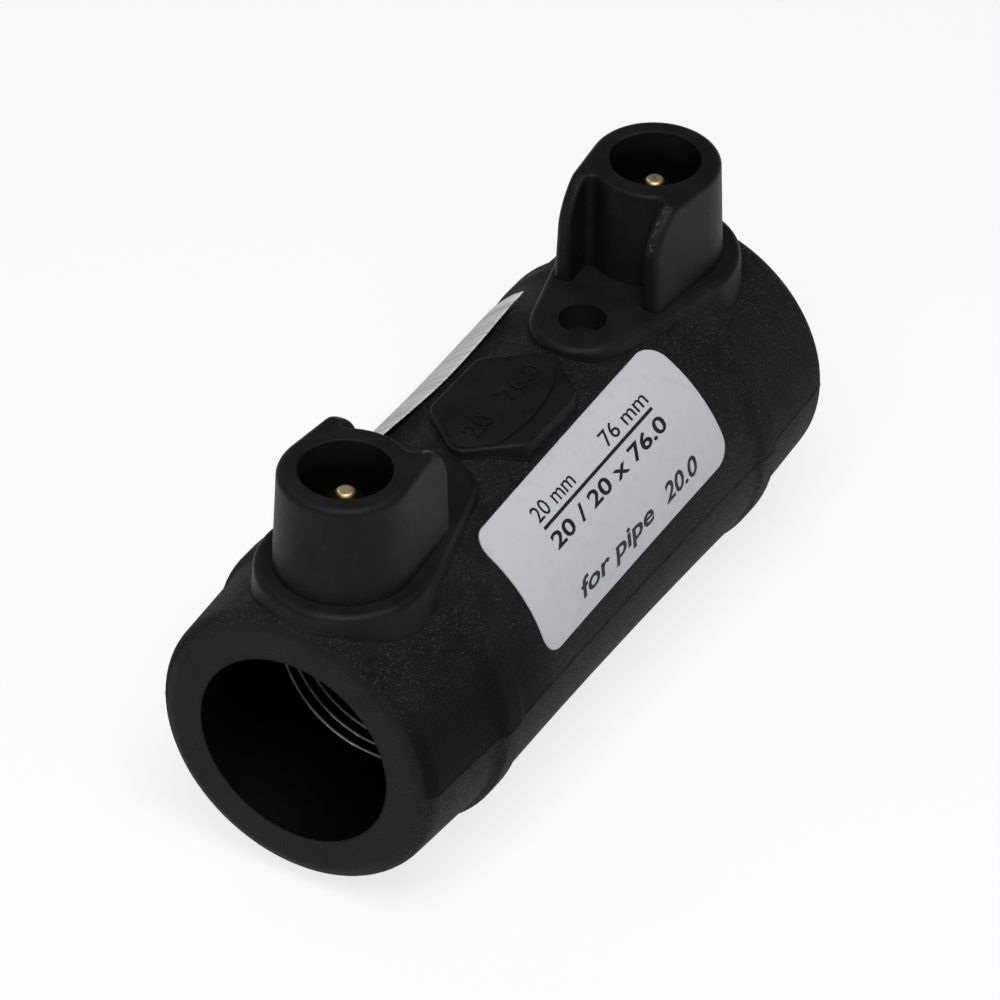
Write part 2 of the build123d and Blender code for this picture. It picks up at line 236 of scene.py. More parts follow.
class Field:
    """A number that varies over a surface. Python's operators on it add Math nodes."""

    def __init__(self, shader: Shader, socket: bpy.types.NodeSocket) -> None:
        """Wraps an output socket.

        Args:
            shader: The material whose tree holds the socket.
            socket: The output socket.
        """
        self.shader = shader
        self.socket = socket

    def _math(self, operation: str, *values: Number) -> Field:
        """Adds one Math node.

        Args:
            operation: What the node does, such as "ADD".
            values: Its inputs, in order.

        Returns:
            The node's result.
        """
        node = self.shader.add("ShaderNodeMath", {"operation": operation}, dict(enumerate(values)))
        return Field(self.shader, node.outputs[0])

    def __add__(self, other: Number) -> Field:
        """Returns self + other."""
        return self._math("ADD", self, other)

    __radd__ = __add__

    def __sub__(self, other: Number) -> Field:
        """Returns self - other."""
        return self._math("SUBTRACT", self, other)

    def __rsub__(self, other: Number) -> Field:
        """Returns other - self."""
        return self._math("SUBTRACT", other, self)

    def __mul__(self, other: Number) -> Field:
        """Returns self * other."""
        return self._math("MULTIPLY", self, other)

    __rmul__ = __mul__

    def __truediv__(self, other: Number) -> Field:
        """Returns self / other."""
        return self._math("DIVIDE", self, other)

    def __rtruediv__(self, other: Number) -> Field:
        """Returns other / self."""
        return self._math("DIVIDE", other, self)

    def __abs__(self) -> Field:
        """Returns the value without its sign."""
        return self._math("ABSOLUTE", self)

    def largest(self, other: Number) -> Field:
        """Returns the larger of self and other."""
        return self._math("MAXIMUM", self, other)

    def smallest(self, other: Number) -> Field:
        """Returns the smaller of self and other."""
        return self._math("MINIMUM", self, other)

    def root(self) -> Field:
        """Returns the square root."""
        return self._math("SQRT", self)

    def angle_to(self, other: Field) -> Field:
        """Returns the angle, in radians, whose tangent is self / other."""
        return self._math("ARCTAN2", self, other)

    def ramp(self, low: float, high: float) -> Field:
        """Fades in smoothly between two values.

        Args:
            low: Where the result is still 0. It may be the larger of the two.
            high: Where the result is already 1.

        Returns:
            The faded value, which stays 0 and 1 outside the two.
        """
        node = self.shader.add(
            "ShaderNodeMapRange", {"interpolation_type": "SMOOTHSTEP"},
            {"Value": self, "From Min": min(low, high), "From Max": max(low, high)},
        )
        rising = Field(self.shader, node.outputs[0])
        return rising if low < high else 1.0 - rising

    def ramp_from(self, start: float, span: Span) -> Field:
        """Returns the ramp over a span that is counted from a start."""
        return self.ramp(start + span[0], start + span[1])


# ---------------------------------------------------------------- sizes shared by looks


@dataclass(frozen=True)
class Sizes:
    """Places on the coupler, in millimetres. The frame gives the overall ones."""

    half: float
    bore: float
    terminal_x: float
    indicator_x: float
    rim: float
    floor: float
    wall: float = 5.35
    pad_radius: float = 8.6
    indicator_pad_radius: float = 5.15
    plate_gap: float = 0.5
    plate_half_width: float = 5.55
    plate_taper: float = 4.9
    wing_spread: float = 10.6
    label_width: float = 14.4

    @classmethod
    def from_frame(cls) -> Sizes:
        """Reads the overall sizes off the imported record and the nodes' boxes.

        Returns:
            The places.
        """
        mounts = {mount["name"]: mount for mount in frame["record"]["mounts"]}
        low, high = (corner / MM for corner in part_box("coupler_body"))
        indicator = [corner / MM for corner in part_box("indicator_pin_rear")]
        return cls(
            half=high.x, bore=mounts["pipe_bore"]["dims"]["r_mm"],
            terminal_x=mounts["terminal_rear"]["pos_m"][0] / MM,
            indicator_x=(indicator[0].x + indicator[1].x) / 2, rim=high.z, floor=low.z,
        )

    @property
    def waist(self) -> float:
        """The barrel's radius at mid-length."""
        return self.bore + self.wall

    @property
    def plate_reach(self) -> float:
        """From mid-length to the crown plate's tips."""
        return self.indicator_x - self.indicator_pad_radius - self.plate_gap


SIZES = Sizes.from_frame()


class Side(Enum):
    """The two sides of the coupler, by their sign along Y."""

    SIZE_LABEL = -1
    BAR_LABEL = 1


# ---------------------------------------------------------------- mesh helpers


class Skin:
    """The surface of a CAD node, on which thin pieces are laid."""

    def __init__(self, node: str) -> None:
        """Reads a node's mesh once.

        Args:
            node: The node's name.
        """
        mesh = frame["nodes"][node].data
        corners = [vertex.co / MM for vertex in mesh.vertices]
        self.tree = BVHTree.FromPolygons(corners, [tuple(face.vertices) for face in mesh.polygons])

    def radius(self, x: float, angle: float) -> float:
        """Measures how far the surface is from the bore's axis.

        Args:
            x: Place along the axis.
            angle: Turn from the crown, positive towards the size label.

        Returns:
            The outer radius there, in millimetres.
        """
        outward = Vector((0.0, -math.sin(angle), math.cos(angle)))
        start = Vector((x, 0.0, 0.0)) + outward * SIZES.rim
        *_, depth = self.tree.ray_cast(start, -outward)
        return SIZES.rim - depth

    def height(self, x: float, y: float) -> float:
        """Returns the height of the surface below a point above the crown."""
        *_, depth = self.tree.ray_cast(Vector((x, y, SIZES.rim)), Vector((0, 0, -1)))
        return SIZES.rim - depth


def add_piece(name: str, mesh: bmesh.types.BMesh, material: bpy.types.Material) -> bpy.types.Object:
    """Turns a mesh in millimetres into a piece that rides on the coupler.

    Args:
        name: The piece's name.
        mesh: Its shape, which is freed.
        material: Its finish.

    Returns:
        The new piece.
    """
    bmesh.ops.scale(mesh, vec=(MM, MM, MM), verts=mesh.verts)
    bmesh.ops.recalc_face_normals(mesh, faces=mesh.faces)
    data = bpy.data.meshes.new(name)
    mesh.to_mesh(data)
    mesh.free()
    data.materials.append(material)
    piece = bpy.data.objects.new(name, data)
    bpy.context.scene.collection.objects.link(piece)
    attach(piece, BODY)
    LOG.info("made %s with %d faces in %s", name, len(data.polygons), material.name)
    return piece


@dataclass(frozen=True)
class Lettering:
    """One run of plain characters, made as a thin closed mesh.

    left, base, width and height place the run in its own plane, and heavy and slant are the stroke's
    growth and lean.
    """

    text: str
    left: float
    base: float
    width: float
    height: float
    heavy: float = 0.0
    slant: float = 0.0
    step: float = 0.45
    smooth: int = 3

    def mesh(self, thickness: float) -> bmesh.types.BMesh:
        """Builds the characters flat, cut across so that they can bend.

        Args:
            thickness: How thick the characters are.

        Returns:
            Closed characters, with their backs at Z = 0.
        """
        curve = bpy.data.curves.new("characters", "FONT")
        curve.body = self.text
        curve.offset = self.heavy
        curve.shear = self.slant
        curve.extrude = HALF_EXTRUDED
        curve.resolution_u = self.smooth
        holder = bpy.data.objects.new("characters", curve)
        flat = bpy.data.meshes.new_from_object(holder)
        mesh = bmesh.new()
        mesh.from_mesh(flat)
        bpy.data.objects.remove(holder)
        bpy.data.curves.remove(curve)
        bpy.data.meshes.remove(flat)
        bmesh.ops.remove_doubles(mesh, verts=mesh.verts, dist=WELD_GAP)
        low_x, high_x = (pick(v.co.x for v in mesh.verts) for pick in (min, max))
        low_y, high_y = (pick(v.co.y for v in mesh.verts) for pick in (min, max))
        wide = self.width / (high_x - low_x)
        tall = self.height / (high_y - low_y)
        for vertex in mesh.verts:
            vertex.co.x = self.left + (vertex.co.x - low_x) * wide
            vertex.co.y = self.base + (vertex.co.y - low_y) * tall
            vertex.co.z = (vertex.co.z + HALF_EXTRUDED) * thickness
        cut_across(mesh, self.base, self.base + self.height, self.step)
        return mesh


def cut_across(mesh: bmesh.types.BMesh, low: float, high: float, step: float) -> None:
    """Cuts a mesh along lines of equal Y, so that it can follow a curved surface.

    Args:
        mesh: The mesh to cut.
        low: Y of the mesh's foot.
        high: Y of its top.
        step: Distance between the cuts.
    """
    for index in range(1, math.ceil((high - low) / step)):
        everything = [*mesh.verts, *mesh.edges, *mesh.faces]
        bmesh.ops.bisect_plane(
            mesh, geom=everything, plane_co=(0, low + index * step, 0), plane_no=(0, 1, 0)
        )


def joined(meshes: Sequence[bmesh.types.BMesh]) -> bmesh.types.BMesh:
    """Puts several meshes into one.

    Args:
        meshes: The meshes, which are freed.

    Returns:
        One mesh that holds them all.
    """
    whole = bmesh.new()
    for mesh in meshes:
        data = bpy.data.meshes.new("part")
        mesh.to_mesh(data)
        mesh.free()
        whole.from_mesh(data)
        bpy.data.meshes.remove(data)
    return whole


def grid_shell(columns: int, rows: int, point: Callable[[int, int, float], Vector],
               thickness: float) -> bmesh.types.BMesh:
    """Builds a closed sheet from a grid.

    Args:
        columns: Points along the sheet.
        rows: Points across it.
        point: Gives a grid point's place, at a height above the sheet's back.
        thickness: How thick the sheet is.

    Returns:
        The sheet's front, back and edges.
    """
    mesh = bmesh.new()
    layers = [
        [[mesh.verts.new(point(i, j, height)) for j in range(rows)] for i in range(columns)]
        for height in (0.0, thickness)
    ]
    back, front = layers
    for i in range(columns - 1):
        for j in range(rows - 1):
            for layer in layers:
                mesh.faces.new((layer[i][j], layer[i + 1][j], layer[i + 1][j + 1], layer[i][j + 1]))
    rim = [(i, 0) for i in range(columns)]
    rim += [(columns - 1, j) for j in range(1, rows)]
    rim += [(i, rows - 1) for i in range(columns - 2, -1, -1)]
    rim += [(0, j) for j in range(rows - 2, 0, -1)]
    for (a, b), (c, d) in zip(rim, rim[1:] + rim[:1]):
        mesh.faces.new((back[a][b], back[c][d], front[c][d], front[a][b]))
    return mesh


# ---------------------------------------------------------------- finishes


@dataclass(frozen=True)
class MouldedBlack:
    """Black polyethylene as it leaves the mould: eroded grain on the barrel, satin on the rest.

    A Span gives where a mask is still 0 and where it is already 1. A _share is how much a mask puts
    into a colour, a _height how much of the relief it makes, a _rough what it adds to the roughness
    and a _polish what it takes off.
    """

    colour: Colour = (0.0058, 0.0058, 0.0061)
    dusty: Colour = (0.0150, 0.0147, 0.0145)
    # painted shade: the near black that the bore and the sockets' insides are painted with
    deep: Colour = (0.0006, 0.0006, 0.0006)
    # painted shade: the darker colour laid on the upper flanks near both ends
    painted_flank_shade: Colour = (0.0025, 0.0025, 0.0027)
    worn: Colour = (0.13, 0.125, 0.12)
    speck: Colour = (0.085, 0.083, 0.080)
    specular: float = 0.12

    leather: Pattern = Pattern(2.4, 4.0, 0.7, levels=(0.44, 0.58))
    fine: Pattern = Pattern(7.0, 3.0, 0.75, levels=(0.42, 0.66))
    satin: Pattern = Pattern(5.0, 3.0, 0.65)
    cloud: Pattern = Pattern(0.22, levels=(0.35, 0.75))
    dust: Pattern = Pattern(6.0, 1.5, levels=(0.58, 0.70))
    dust_drift: Pattern = Pattern(0.5, levels=(0.26, 0.54))

    face_edge: Span = (-0.5, -0.1)  # counted from an end face
    bore_edge: Span = (0.32, 0.02)  # counted from the bore's wall
    seam_edge: Span = (0.15, -0.15)
    crown_edge: Span = (11.5, 14.0)
    # where the painted shade of the upper flanks lies
    flank_edge: Span = (12.0, 5.0)
    flank_front: Span = (-14.0, -22.0)
    flank_rear: Span = (20.0, 26.0)
    flank_rear_part: float = 0.4
    smooth_above: Span = (8.0, 9.0)
    smooth_past: float = 0.15  # how far the smooth areas reach past their outlines
    smooth_fade: float = 0.25
    socket_wall: Span = (4.75, 4.45)
    socket_depth: Span = (-0.5, -4.0)  # counted from the rim
    socket_floor: Span = (14.0, 15.0)

    cloud_share: float = 0.5
    grain_share: float = 0.7
    face_share: float = 0.6
    crown_share: float = 0.7
    speck_share: float = 0.05
    speck_grain_share: float = 0.7
    speck_lower_share: float = 0.1
    flank_shade_share: float = 0.8
    socket_shade_share: float = 0.85

    leather_height: float = 0.5
    fine_height: float = 0.7
    satin_height: float = 0.16
    face_height: float = 0.2
    weld_height: float = 0.18
    relief: float = 0.38

    base_rough: float = 0.50
    leather_rough: float = 0.24
    grain_polish: float = 0.04
    smooth_polish: float = 0.06
    satin_rough: float = 0.08
    flank_rough: float = 0.14

    weld_angles: tuple[float, ...] = (-110.0, -175.0, 87.0, 0.0)
    weld_width: float = 0.42
    weld_start: Span = (0.0, 1.0)
    weld_wander: Pattern = Pattern(0.6)
    weld_reach: float = 1.6
    weld_breaks: Pattern = Pattern(0.9, levels=(0.35, 0.62))

    wing_edge: float = 0.45  # from a wing's outer face to its scuffed line
    scuff_width: Span = (0.32, 0.08)
    scuff_start: Span = (19.2, 19.8)
    scuff_end: Span = (23.6, 22.6)
    scuff_above: Span = (22.4, 23.4)
    scuff_patches: Pattern = Pattern(1.5, 3.0, levels=(0.42, 0.66))
    scratches: Pattern = Pattern(5.0, squeeze=(0.3, 2.0, 0.3), levels=(0.42, 0.62))

    def dress(self) -> bpy.types.Material:
        """Builds the finish of the whole moulding.

        Returns:
            The material.
        """
        shader = Shader("moulded_black")
        x, y, z = shader.place()
        from_middle = abs(x)
        smooth = self._smooth(from_middle, y, z)
        face = from_middle.ramp_from(SIZES.half, self.face_edge)
        # inside marks the bore's wall: it has no grain there, and it also carries painted shade
        inside = (y * y + z * z).root().ramp_from(SIZES.bore, self.bore_edge)
        grain = (1.0 - smooth) * (1.0 - face) * (1.0 - inside)
        lower = z.ramp(*self.seam_edge)
        # painted shade: the upper flanks near both ends are darkened; the same mask also raises
        # their roughness
        flank = z.ramp(*self.flank_edge) * (1.0 - lower) * grain
        flank = flank * (
            x.ramp(*self.flank_front) + x.ramp(*self.flank_rear) * self.flank_rear_part
        )
        leather = shader.noise(self.leather)
        fine = shader.noise(self.fine)
        satin = shader.noise(self.satin)
        crown = z.ramp(*self.crown_edge) * grain * leather.ramp(*self.leather.levels)

        pale = fine.ramp(*self.fine.levels) * (grain * self.grain_share + face * self.face_share)
        pale = shader.mask(self.cloud) * self.cloud_share + pale + crown * self.crown_share
        specks = self.speck_share + grain * self.speck_grain_share
        specks = specks + lower * grain * self.speck_lower_share
        dust = shader.mask(self.dust) * shader.mask(self.dust_drift)
        # painted shade: the bore and the sockets' insides are darkened to near black
        painted_shade = inside.largest(self._socket_shade(from_middle, y, z) * self.socket_shade_share)
        colour = shader.mix(self.colour, self.dusty, pale.smallest(1.0))
        colour = shader.mix(colour, self.speck, dust * specks)
        colour = shader.mix(colour, self.painted_flank_shade, flank * self.flank_shade_share)
        colour = shader.mix(colour, self.deep, painted_shade)
        colour = shader.mix(colour, self.worn, self._worn(shader, from_middle, y, z))

        height = grain * (leather * self.leather_height + fine * self.fine_height)
        height = height + (1.0 - grain) * satin * (self.satin_height + face * self.face_height)
        height = height + self._welds(shader, y, z) * face * self.weld_height
        rough = self.base_rough + grain * (leather * self.leather_rough - self.grain_polish)
        rough = rough - smooth * self.smooth_polish + satin * self.satin_rough
        return shader.finish(
            Base_Color=colour, Roughness=rough + flank * self.flank_rough,
            Specular_IOR_Level=self.specular, Normal=shader.bump(height, self.relief),
        )

    def _smooth(self, from_middle: Field, y: Field, z: Field) -> Field:
        """Marks the pads, the crown plate and the shrouds, whose tool is smooth.

        Args:
            from_middle: Distance from mid-length.
            y: Place across.
            z: Height.

        Returns:
            1 on the smooth areas and 0 on the barrel.
        """
        near = from_middle.largest(SIZES.indicator_x).smallest(SIZES.terminal_x)
        growth = SIZES.pad_radius - SIZES.indicator_pad_radius
        growth = growth / (SIZES.terminal_x - SIZES.indicator_x)
        reach = (near - SIZES.indicator_x) * growth + SIZES.indicator_pad_radius
        along = from_middle - near
        pad = (along * along + y * y).root() - reach
        taper, half_width = SIZES.plate_taper, SIZES.plate_half_width
        slant = math.hypot(taper, half_width)
        points = from_middle * half_width + abs(y) * taper
        points = (points - SIZES.plate_reach * half_width) / slant
        plate = points.largest(abs(y) - half_width)
        edge = pad.smallest(plate).ramp(self.smooth_past + self.smooth_fade, self.smooth_past)
        return edge * z.ramp(*self.smooth_above)

    def _socket_shade(self, from_middle: Field, y: Field, z: Field) -> Field:
        """Marks the insides of the sockets, which are painted dark as painted shade.

        Args:
            from_middle: Distance from mid-length.
            y: Place across.
            z: Height.

        Returns:
            1 deep in a socket and 0 outside.
        """
        along = from_middle - SIZES.terminal_x
        ring = (along * along + y * y).root().ramp(*self.socket_wall)
        return ring * z.ramp_from(SIZES.rim, self.socket_depth) * z.ramp(*self.socket_floor)

    def _welds(self, shader: Shader, y: Field, z: Field) -> Field:
        """Marks the weld lines of the end faces, where the melt met.

        Args:
            shader: The material's tree.
            y: Place across.
            z: Height.

        Returns:
            1 along the lines.
        """
        lines = None
        wander = (shader.noise(self.weld_wander) - NOISE_MIDDLE) * self.weld_reach
        for angle in self.weld_angles:
            turn = math.radians(angle)
            across = abs(y * math.cos(turn) + z * math.sin(turn) + wander)
            ahead = (z * math.cos(turn) - y * math.sin(turn)).ramp(*self.weld_start)
            line = across.ramp(self.weld_width, 0.0) * ahead
            lines = line if lines is None else lines.largest(line)
        return lines * shader.mask(self.weld_breaks)

    def _worn(self, shader: Shader, from_middle: Field, y: Field, z: Field) -> Field:
        """Marks the scuffed edge of each wing on the size label's side.

        Args:
            shader: The material's tree.
            from_middle: Distance from mid-length.
            y: Place across.
            z: Height.

        Returns:
            1 where the surface is scuffed light.
        """
        edge = abs(y + SIZES.wing_spread / 2 - self.wing_edge).ramp(*self.scuff_width)
        along = from_middle.ramp(*self.scuff_start) * from_middle.ramp(*self.scuff_end)
        place = edge * (along * z.ramp(*self.scuff_above))
        return place * shader.mask(self.scuff_patches) * shader.mask(self.scratches)


@dataclass(frozen=True)
class Metal:
    """Bare metal with fine lines that run round or along it.

    lines is the noise that draws the lines. Further than shaded_past from a terminal's middle the
    metal is painted dark as painted shade, and 0 leaves that out.
    """

    name: str
    colour: Colour
    # the second colour is used for stains and, on the pins, for painted shade
    stain_and_shade: Colour
    roughness: float
    lines: Pattern
    shaded_past: float = 0.0
    shade_fade: float = 0.35
    metallic: float = 1.0
    stain: Pattern = Pattern(1.1, 3.0, levels=(0.45, 0.75))
    stain_share: float = 0.8
    lined_rough: float = 0.12
    stained_rough: float = 0.15
    depth: float = 0.004

    def dress(self) -> bpy.types.Material:
        """Builds the metal.

        Returns:
            The material.
        """
        shader = Shader(self.name)
        lines = shader.noise(self.lines)
        stain = shader.mask(self.stain) * self.stain_share
        # painted shade: away from the tip the pin is darkened to near black, mixed in with its
        # stains
        if self.shaded_past:
            x, y, _ = shader.place()
            along = abs(x) - SIZES.terminal_x
            away = (along * along + y * y).root()
            painted_pin_shade = away.ramp_from(self.shaded_past, (0.0, self.shade_fade))
            stain = stain.largest(painted_pin_shade)
        rough = self.roughness + lines * self.lined_rough + stain * self.stained_rough
        return shader.finish(
            Base_Color=shader.mix(self.colour, self.stain_and_shade, stain), Metallic=self.metallic,
            Roughness=rough, Normal=shader.bump(lines, self.depth),
        )


@dataclass(frozen=True)
class LabelPaper:
    """Coated label paper with a faint fibre, soft dents and faint soil."""

    colour: Colour = (0.545, 0.545, 0.57)
    soiled: Colour = (0.47, 0.465, 0.475)
    specular: float = 0.3
    fibre: Pattern = Pattern(6.0, 4.0)
    dents: Pattern = Pattern(0.35)
    soil: Pattern = Pattern(0.8, 3.0, levels=(0.5, 0.8))
    soil_share: float = 0.5
    fibre_share: float = 0.15
    base_rough: float = 0.5
    fibre_rough: float = 0.12
    fibre_height: float = 0.05
    relief: float = 0.05

    def dress(self) -> bpy.types.Material:
        """Builds the paper.

        Returns:
            The material.
        """
        shader = Shader("label_paper_finish")
        fibre = shader.noise(self.fibre)
        soil = shader.mask(self.soil) * self.soil_share + fibre * self.fibre_share
        height = shader.noise(self.dents) + fibre * self.fibre_height
        return shader.finish(
            Base_Color=shader.mix(self.colour, self.soiled, soil),
            Roughness=self.base_rough + fibre * self.fibre_rough,
            Specular_IOR_Level=self.specular, Normal=shader.bump(height, self.relief),
        )


@dataclass(frozen=True)
class BarredPaper:
    """Label paper whose face is printed with fine grey bars that run round the barrel."""

    paper: Colour = (0.74, 0.73, 0.74)
    bar: Colour = (0.38, 0.37, 0.38)
    specular: float = 0.3
    margin: float = 1.7
    margin_fade: float = 0.1
    foot: Span = (22.2, 22.0)  # where the print ends, round the barrel from the crown
    bars: Pattern = Pattern(3.4, 0.0, squeeze=(1.0, 0.0, 0.0), levels=(0.485, 0.515))
    bands: Pattern = Pattern(0.75, 1.0, squeeze=(1.0, 0.02, 0.02), levels=(0.42, 0.6))
    dots: Pattern = Pattern(9.0, 0.0)
    fibre: Pattern = Pattern(6.0, 4.0)
    bar_share: float = 0.55
    band_share: float = 0.25
    dot_share: float = 0.15
    base_rough: float = 0.52
    fibre_rough: float = 0.1
    relief: float = 0.006

    def dress(self, low_x: float, high_x: float) -> bpy.types.Material:
        """Builds the printed finish.

        Args:
            low_x: The label's front end.
            high_x: Its rear end.

        Returns:
            The material.
        """
        shader = Shader("barred_label_finish")
        x, y, z = shader.place()
        printed = x.ramp_from(low_x + self.margin, (0.0, self.margin_fade))
        printed = printed * x.ramp_from(high_x - self.margin, (0.0, -self.margin_fade))
        printed = printed * (y.angle_to(z) * SIZES.waist).ramp(*self.foot)
        bars = shader.mask(self.bars) * self.bar_share + shader.mask(self.bands) * self.band_share
        ink = printed * (bars + shader.noise(self.dots) * self.dot_share)
        fibre = shader.noise(self.fibre)
        return shader.finish(
            Base_Color=shader.mix(self.paper, self.bar, ink),
            Roughness=self.base_rough + fibre * self.fibre_rough,
            Specular_IOR_Level=self.specular, Normal=shader.bump(fibre, self.relief),
        )


@dataclass(frozen=True)
class Ink:
    """Black thermal print, a little broken where the paper's fibre shows."""

    colour: Colour = (0.010, 0.009, 0.010)
    worn: Colour = (0.055, 0.052, 0.055)
    specular: float = 0.3
    broken: Pattern = Pattern(9.0, 3.0, levels=(0.5, 0.75))
    base_rough: float = 0.45
    broken_rough: float = 0.2

    def dress(self) -> bpy.types.Material:
        """Builds the print.

        Returns:
            The material.
        """
        shader = Shader("black_print")
        broken = shader.mask(self.broken)
        return shader.finish(
            Base_Color=shader.mix(self.colour, self.worn, broken),
            Roughness=self.base_rough + broken * self.broken_rough,
            Specular_IOR_Level=self.specular,
        )


# ---------------------------------------------------------------- sub-assemblies


@dataclass
class SizeLabel:
    """The stuck-on size label: its paper and the print on it."""

    from_crown: float = 13.65
    tilt: float = 1.6
    print_depth: float = 0.02
    print_sunk: float = 0.005
    rule: tuple[float, float, float, float] = (-9.8, 11.3, 2.45, 0.34)  # left, right, foot, height
    rule_columns: int = 40
    runs: tuple[Lettering, ...] = (
        Lettering("20 mm", -9.8, 3.25, 7.2, 1.62, heavy=0.006),
        Lettering("76 mm", 3.5, 3.2, 8.1, 1.62, heavy=0.006),
        Lettering("20 / 20 x 76.0", -10.0, 0.16, 21.5, 1.66, heavy=0.022),
        Lettering("for pipe", -9.9, -5.95, 13.9, 2.35, heavy=0.022, slant=0.22),
        Lettering("20.0", 6.3, -5.45, 6.2, 1.88, heavy=0.022, slant=0.22),
    )

    def build(self) -> None:
        """Dresses the paper and lays the print on it."""
        dress_node("size_label", LabelPaper().dress())
        skin = Skin("size_label")
        pieces = [run.mesh(self.print_depth) for run in self.runs]
        pieces.append(self._rule())
        whole = joined(pieces)
        for vertex in whole.verts:
            vertex.co = self._on_label(skin, vertex.co)
        add_piece("size_print", whole, Ink().dress())

    def _rule(self) -> bmesh.types.BMesh:
        """Makes the plain line under the first row of print.

        Returns:
            The line, flat like the characters.
        """
        left, right, foot, tall = self.rule

        def point(i: int, j: int, height: float) -> Vector:
            """Places a grid point of the line.

            Args:
                i: Its column.
                j: Its row.
                height: How far it is above the line's back.

            Returns:
                The place in the label's own plane.
            """
            x = left + (right - left) * i / (self.rule_columns - 1)
            return Vector((x, foot + tall * j, height))

        return grid_shell(self.rule_columns, 2, point, self.print_depth)

    def _on_label(self, skin: Skin, flat: Vector) -> Vector:
        """Wraps a point of the label's own plane round the barrel.

        Args:
            skin: The paper's surface.
            flat: Place along, up and above the label.

        Returns:
            The point in the coupler's frame.
        """
        turn = math.radians(self.tilt)
        x = flat.x * math.cos(turn) - flat.y * math.sin(turn)
        up = flat.x * math.sin(turn) + flat.y * math.cos(turn)
        angle = (self.from_crown - up) / SIZES.waist
        radius = skin.radius(x, angle) + flat.z - self.print_sunk
        return Vector((x, -radius * math.sin(angle), radius * math.cos(angle)))


@dataclass
class BarLabel:
    """The bar label, whose upper edge has sprung off the barrel.

    The edge stands least_lift off the barrel at tightest_at and up to spring more away from there.
    """

    from_crown: float = 15.45
    thickness: float = 0.12
    glue: float = 0.012
    least_lift: float = 0.36
    spring: float = 0.75
    tightest_at: float = 3.8
    spread: float = 11.0
    stuck_share: float = 0.3
    curl: float = 1.7
    columns: int = 145
    rows: int = 41

    def build(self) -> None:
        """Makes the sprung sheet in place of the plain one."""
        low, high = (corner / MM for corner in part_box("bar_label"))
        skin = Skin("coupler_body")
        middle = self.from_crown / SIZES.waist
        reach = SIZES.label_width / 2 / SIZES.waist

        def point(i: int, j: int, height: float) -> Vector:
            """Places a grid point of the sheet.

            Args:
                i: Its column.
                j: Its row.
                height: How far it is above the sheet's back.

            Returns:
                The place in the coupler's frame.
            """
            x = low.x + (high.x - low.x) * i / (self.columns - 1)
            share = j / (self.rows - 1)
            angle = middle + reach - 2 * reach * share
            radius = skin.radius(x, -angle) + self._lift(x, share) + height
            return Vector((x, radius * math.sin(angle), radius * math.cos(angle)))

        mesh = grid_shell(self.columns, self.rows, point, self.thickness)
        finish = BarredPaper().dress(low.x, high.x)
        piece = add_piece("bar_label_sheet", mesh, finish)
        piece.data.shade_smooth()
        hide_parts("bar_label")

    def _lift(self, x: float, share: float) -> float:
        """Works out how far the sheet stands off the barrel.

        Args:
            x: Place along the barrel.
            share: 0 at the lower edge and 1 at the sprung edge.

        Returns:
            The lift in millimetres.
        """
        away = (x - self.tightest_at) / self.spread
        edge = self.least_lift + self.spring * (1 - math.exp(-away * away))
        free = max(0.0, share - self.stuck_share) / (1 - self.stuck_share)
        return self.glue + edge * free ** self.curl


@dataclass
class CrownNumbers:
    """Raised plain numbers on the crown plate."""

    rise: float = 0.20
    sunk: float = 0.05
    runs: tuple[Lettering, ...] = (
        Lettering("20", -6.5, -1.05, 3.4, 2.1, heavy=0.01),
        Lettering("76.0", 0.1, -0.95, 5.9, 2.1, heavy=0.01),
    )

    def build(self, material: bpy.types.Material) -> None:
        """Stands the numbers on the plate.

        Args:
            material: The moulding's finish.
        """
        skin = Skin("coupler_body")
        whole = joined([run.mesh(self.rise + self.sunk) for run in self.runs])
        for vertex in whole.verts:
            vertex.co.z += skin.height(vertex.co.x, vertex.co.y) - self.sunk
        add_piece("crown_numbers", whole, material)


